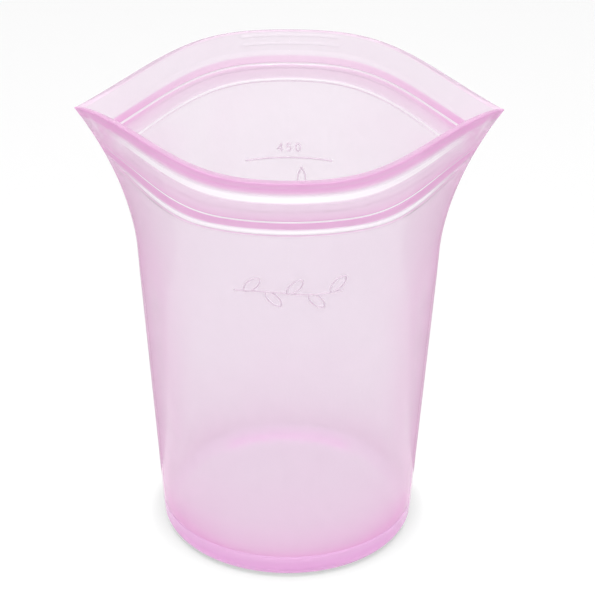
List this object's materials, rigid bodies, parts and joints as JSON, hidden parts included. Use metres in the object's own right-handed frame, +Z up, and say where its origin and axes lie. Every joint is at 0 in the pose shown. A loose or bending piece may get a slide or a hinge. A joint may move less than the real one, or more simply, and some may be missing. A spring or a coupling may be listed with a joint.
{
  "type": "reusable silicone bag",
  "caption": "Stand-up cup-shaped food bag of translucent silicone: round foot, tapered wall and an eye-shaped mouth with pointed corners and a press-shut zip.",
  "frame": {"origin": "centre of the foot, on the table", "axes": "+Z up, -Y the front with the emblem, X through the two pointed corners of the mouth"},
  "size_m": [0.1246, 0.09, 0.141],
  "materials": {
    "wall": "translucent satin silicone",
    "floor": "translucent satin silicone",
    "heel": "translucent satin silicone",
    "mouth": "translucent glossy silicone",
    "mark": "translucent satin silicone"
  },
  "bodies": {
    "cup": {"floor": "floor", "heel": "heel", "front_wall": "wall", "back_wall": "wall", "front_shoulder": "wall", "back_shoulder": "wall", "front_left_end": "mouth", "front_right_end": "mouth", "back_left_end": "mouth", "back_right_end": "mouth", "left_corner": "mouth", "right_corner": "mouth", "fill_line": "mark", "fill_number": "mark", "drop_mark": "mark", "front_emblem": "mark"},
    "front_mouth": {"front_centre_zip_band": "mouth", "front_centre_lip": "mouth", "front_centre_zip_bead": "mouth"},
    "back_mouth": {"back_centre_zip_band": "mouth", "back_centre_lip": "mouth", "back_centre_zip_rails": "mouth", "back_grip_ridges": "mouth"},
    "front_left_inner_flank": {"front_left_inner_zip_band": "mouth", "front_left_inner_lip": "mouth", "front_left_inner_zip_bead": "mouth"},
    "front_left_outer_flank": {"front_left_outer_zip_band": "mouth", "front_left_outer_lip": "mouth", "front_left_outer_zip_bead": "mouth"},
    "front_right_inner_flank": {"front_right_inner_zip_band": "mouth", "front_right_inner_lip": "mouth", "front_right_inner_zip_bead": "mouth"},
    "front_right_outer_flank": {"front_right_outer_zip_band": "mouth", "front_right_outer_lip": "mouth", "front_right_outer_zip_bead": "mouth"},
    "back_left_inner_flank": {"back_left_inner_zip_band": "mouth", "back_left_inner_lip": "mouth", "back_left_inner_zip_rails": "mouth"},
    "back_left_outer_flank": {"back_left_outer_zip_band": "mouth", "back_left_outer_lip": "mouth", "back_left_outer_zip_rails": "mouth"},
    "back_right_inner_flank": {"back_right_inner_zip_band": "mouth", "back_right_inner_lip": "mouth", "back_right_inner_zip_rails": "mouth"},
    "back_right_outer_flank": {"back_right_outer_zip_band": "mouth", "back_right_outer_lip": "mouth", "back_right_outer_zip_rails": "mouth"}
  },
  "joints": [
    {"name": "front_close", "type": "slide", "parent": "cup", "child": "front_mouth", "axis": [0, 1, 0], "range_m": [-0.005, 0.038], "stiffness_N_per_m": 60},
    {"name": "front_left_inner_close", "type": "slide", "parent": "cup", "child": "front_left_inner_flank", "axis": [0, 1, 0], "range_m": [-0.00375, 0.0285], "stiffness_N_per_m": 30},
    {"name": "front_left_outer_close", "type": "slide", "parent": "cup", "child": "front_left_outer_flank", "axis": [0, 1, 0], "range_m": [-0.0019, 0.01444], "stiffness_N_per_m": 30},
    {"name": "front_right_inner_close", "type": "slide", "parent": "cup", "child": "front_right_inner_flank", "axis": [0, 1, 0], "range_m": [-0.00375, 0.0285], "stiffness_N_per_m": 30},
    {"name": "front_right_outer_close", "type": "slide", "parent": "cup", "child": "front_right_outer_flank", "axis": [0, 1, 0], "range_m": [-0.0019, 0.01444], "stiffness_N_per_m": 30},
    {"name": "back_close", "type": "slide", "parent": "cup", "child": "back_mouth", "axis": [0, -1, 0], "range_m": [-0.005, 0.038], "stiffness_N_per_m": 60},
    {"name": "back_left_inner_close", "type": "slide", "parent": "cup", "child": "back_left_inner_flank", "axis": [0, -1, 0], "range_m": [-0.00375, 0.0285], "stiffness_N_per_m": 30},
    {"name": "back_left_outer_close", "type": "slide", "parent": "cup", "child": "back_left_outer_flank", "axis": [0, -1, 0], "range_m": [-0.0019, 0.01444], "stiffness_N_per_m": 30},
    {"name": "back_right_inner_close", "type": "slide", "parent": "cup", "child": "back_right_inner_flank", "axis": [0, -1, 0], "range_m": [-0.00375, 0.0285], "stiffness_N_per_m": 30},
    {"name": "back_right_outer_close", "type": "slide", "parent": "cup", "child": "back_right_outer_flank", "axis": [0, -1, 0], "range_m": [-0.0019, 0.01444], "stiffness_N_per_m": 30}
  ],
  "couplings": [
    {"joint": "front_left_inner_close", "follows": "front_close", "ratio": 0.75},
    {"joint": "front_left_outer_close", "follows": "front_close", "ratio": 0.38},
    {"joint": "front_right_inner_close", "follows": "front_close", "ratio": 0.75},
    {"joint": "front_right_outer_close", "follows": "front_close", "ratio": 0.38},
    {"joint": "back_left_inner_close", "follows": "back_close", "ratio": 0.75},
    {"joint": "back_left_outer_close", "follows": "back_close", "ratio": 0.38},
    {"joint": "back_right_inner_close", "follows": "back_close", "ratio": 0.75},
    {"joint": "back_right_outer_close", "follows": "back_close", "ratio": 0.38}
  ]
}
